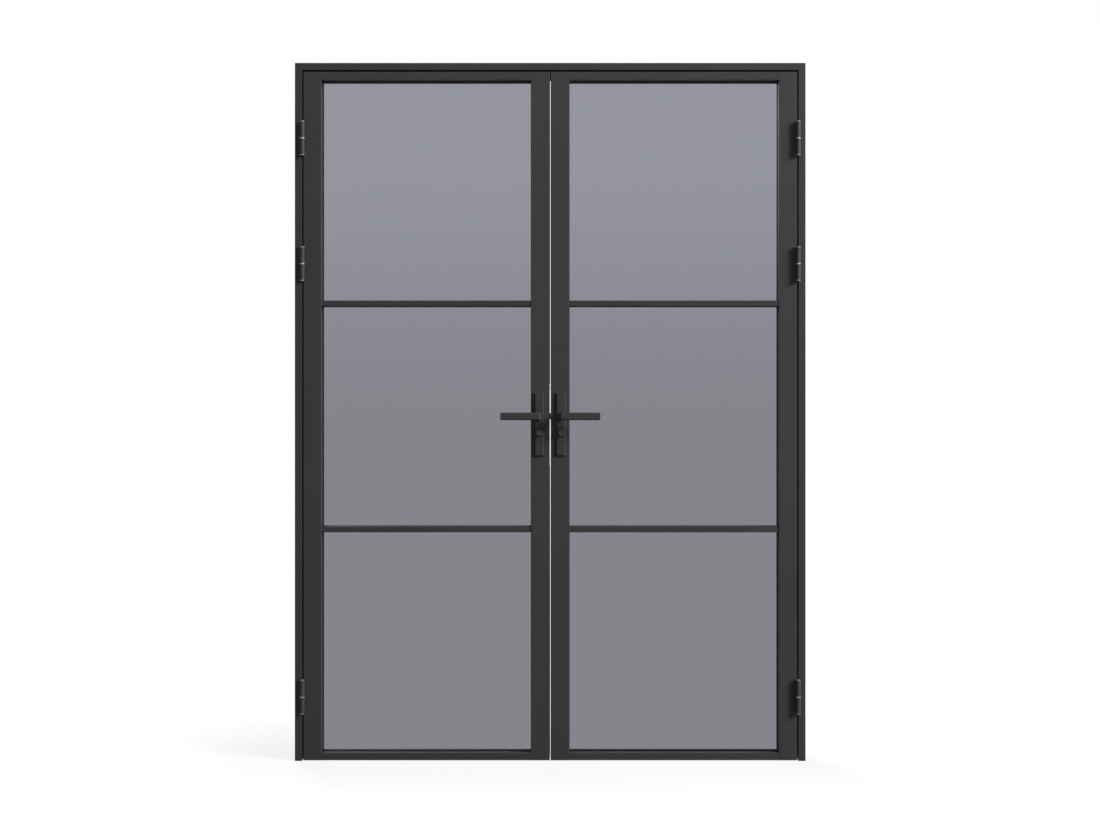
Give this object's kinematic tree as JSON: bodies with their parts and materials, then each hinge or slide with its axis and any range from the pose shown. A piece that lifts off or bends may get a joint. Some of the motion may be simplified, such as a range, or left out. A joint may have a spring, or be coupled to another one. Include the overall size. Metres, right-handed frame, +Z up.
{
  "type": "glass double door",
  "caption": "Double door with tinted glass panes in slim dark metal leaves, hung in a three-sided frame with barrel hinges, lever handles, a latch and locking bolts.",
  "frame": {"origin": "on the floor at the middle of the door's width, in the mid-plane of the leaves", "axes": "+X to the right seen from the hinge side, -Y towards that side (the front), +Z up"},
  "size_m": [1.5, 0.16, 2.05],
  "materials": {
    "frame_coat": "fine-textured matt powder coat, dark grey",
    "leaf_coat": "fine-textured matt powder coat, dark grey",
    "hinge_coat": "satin dark grey coat",
    "handle_coat": "satin dark grey coat",
    "bright_steel": "turned or drawn bright steel",
    "lock_steel": "brushed stainless forend and case",
    "pin_steel": "turned satin steel",
    "cylinder_metal": "satin black nickel",
    "tinted_glass": "clear polished, grey body tint",
    "gasket_rubber": "matt dark grey glazing rubber",
    "seal_rubber": "matt black sealing rubber",
    "cap_plastic": "moulded matt black"
  },
  "bodies": {
    "frame": {"left_jamb": "frame_coat", "right_jamb": "frame_coat", "head": "frame_coat", "frame_seal": "seal_rubber", "left_frame_knuckles": "hinge_coat", "right_frame_knuckles": "hinge_coat", "hinge_pins": "pin_steel", "hinge_washers": "bright_steel"},
    "left_leaf": {"left_hinge_stile": "leaf_coat", "left_meeting_stile": "leaf_coat", "left_stile_caps": "cap_plastic", "left_top_rail": "leaf_coat", "left_bottom_rail": "leaf_coat", "left_upper_muntin": "leaf_coat", "left_lower_muntin": "leaf_coat", "left_bottom_seal": "seal_rubber", "left_leaf_knuckles": "hinge_coat", "left_front_backplate": "handle_coat", "left_back_backplate": "handle_coat", "left_lock_case": "lock_steel", "left_cylinder": "cylinder_metal", "left_lower_glass": "tinted_glass", "left_lower_gasket": "gasket_rubber", "left_middle_glass": "tinted_glass", "left_middle_gasket": "gasket_rubber", "left_upper_glass": "tinted_glass", "left_upper_gasket": "gasket_rubber", "left_meeting_seal": "seal_rubber"},
    "left_lever": {"left_front_lever": "handle_coat", "left_back_lever": "handle_coat", "left_spindle": "bright_steel"},
    "right_leaf": {"right_hinge_stile": "leaf_coat", "right_meeting_stile": "leaf_coat", "right_stile_caps": "cap_plastic", "right_top_rail": "leaf_coat", "right_bottom_rail": "leaf_coat", "right_upper_muntin": "leaf_coat", "right_lower_muntin": "leaf_coat", "right_bottom_seal": "seal_rubber", "right_leaf_knuckles": "hinge_coat", "right_front_backplate": "handle_coat", "right_back_backplate": "handle_coat", "right_lock_case": "lock_steel", "right_cylinder": "cylinder_metal", "right_lower_glass": "tinted_glass", "right_lower_gasket": "gasket_rubber", "right_middle_glass": "tinted_glass", "right_middle_gasket": "gasket_rubber", "right_upper_glass": "tinted_glass", "right_upper_gasket": "gasket_rubber"},
    "right_lever": {"right_front_lever": "handle_coat", "right_back_lever": "handle_coat", "right_spindle": "bright_steel"},
    "left_thumb_turn": {"left_thumb_turn": "handle_coat"},
    "right_thumb_turn": {"right_thumb_turn": "handle_coat"},
    "latch_bolt": {"latch_bolt": "bright_steel"},
    "deadbolt": {"deadbolt": "bright_steel"},
    "top_shootbolt": {"top_shootbolt": "bright_steel"},
    "bottom_shootbolt": {"bottom_shootbolt": "bright_steel"}
  },
  "joints": [
    {"name": "left_leaf_swing", "type": "hinge", "parent": "frame", "child": "left_leaf", "pos_m": [-0.727, -0.0325, 0], "axis": [0, 0, -1], "range_deg": [0, 170]},
    {"name": "right_leaf_swing", "type": "hinge", "parent": "frame", "child": "right_leaf", "pos_m": [0.727, -0.0325, 0], "axis": [0, 0, 1], "range_deg": [0, 170]},
    {"name": "left_lever_turn", "type": "hinge", "parent": "left_leaf", "child": "left_lever", "pos_m": [-0.032, 0, 1.012], "axis": [0, -1, 0], "range_deg": [0, 45], "stiffness_Nm_per_rad": 2, "springref_deg": -17.19},
    {"name": "latch_slide", "type": "slide", "parent": "left_leaf", "child": "latch_bolt", "axis": [-1, 0, 0], "range_m": [0, 0.011]},
    {"name": "left_knob_turn", "type": "hinge", "parent": "left_leaf", "child": "left_thumb_turn", "pos_m": [-0.032, 0, 0.9645], "axis": [0, -1, 0], "range_deg": [0, 90]},
    {"name": "deadbolt_slide", "type": "slide", "parent": "left_leaf", "child": "deadbolt", "axis": [1, 0, 0], "range_m": [0, 0.012]},
    {"name": "right_lever_turn", "type": "hinge", "parent": "right_leaf", "child": "right_lever", "pos_m": [0.032, 0, 1.012], "axis": [0, -1, 0], "range_deg": [0, 45]},
    {"name": "top_bolt_slide", "type": "slide", "parent": "right_leaf", "child": "top_shootbolt", "axis": [0, 0, 1], "range_m": [0, 0.014]},
    {"name": "bottom_bolt_slide", "type": "slide", "parent": "right_leaf", "child": "bottom_shootbolt", "axis": [0, 0, -1], "range_m": [0, 0.012]},
    {"name": "right_knob_turn", "type": "hinge", "parent": "right_leaf", "child": "right_thumb_turn", "pos_m": [0.032, 0, 0.9645], "axis": [0, -1, 0], "range_deg": [0, 90]}
  ],
  "couplings": [
    {"joint": "latch_slide", "follows": "left_lever_turn", "m_per_rad": 0.014},
    {"joint": "deadbolt_slide", "follows": "left_knob_turn", "m_per_rad": 0.0076},
    {"joint": "top_bolt_slide", "follows": "right_lever_turn", "m_per_rad": 0.0178},
    {"joint": "bottom_bolt_slide", "follows": "right_lever_turn", "m_per_rad": 0.0152}
  ]
}
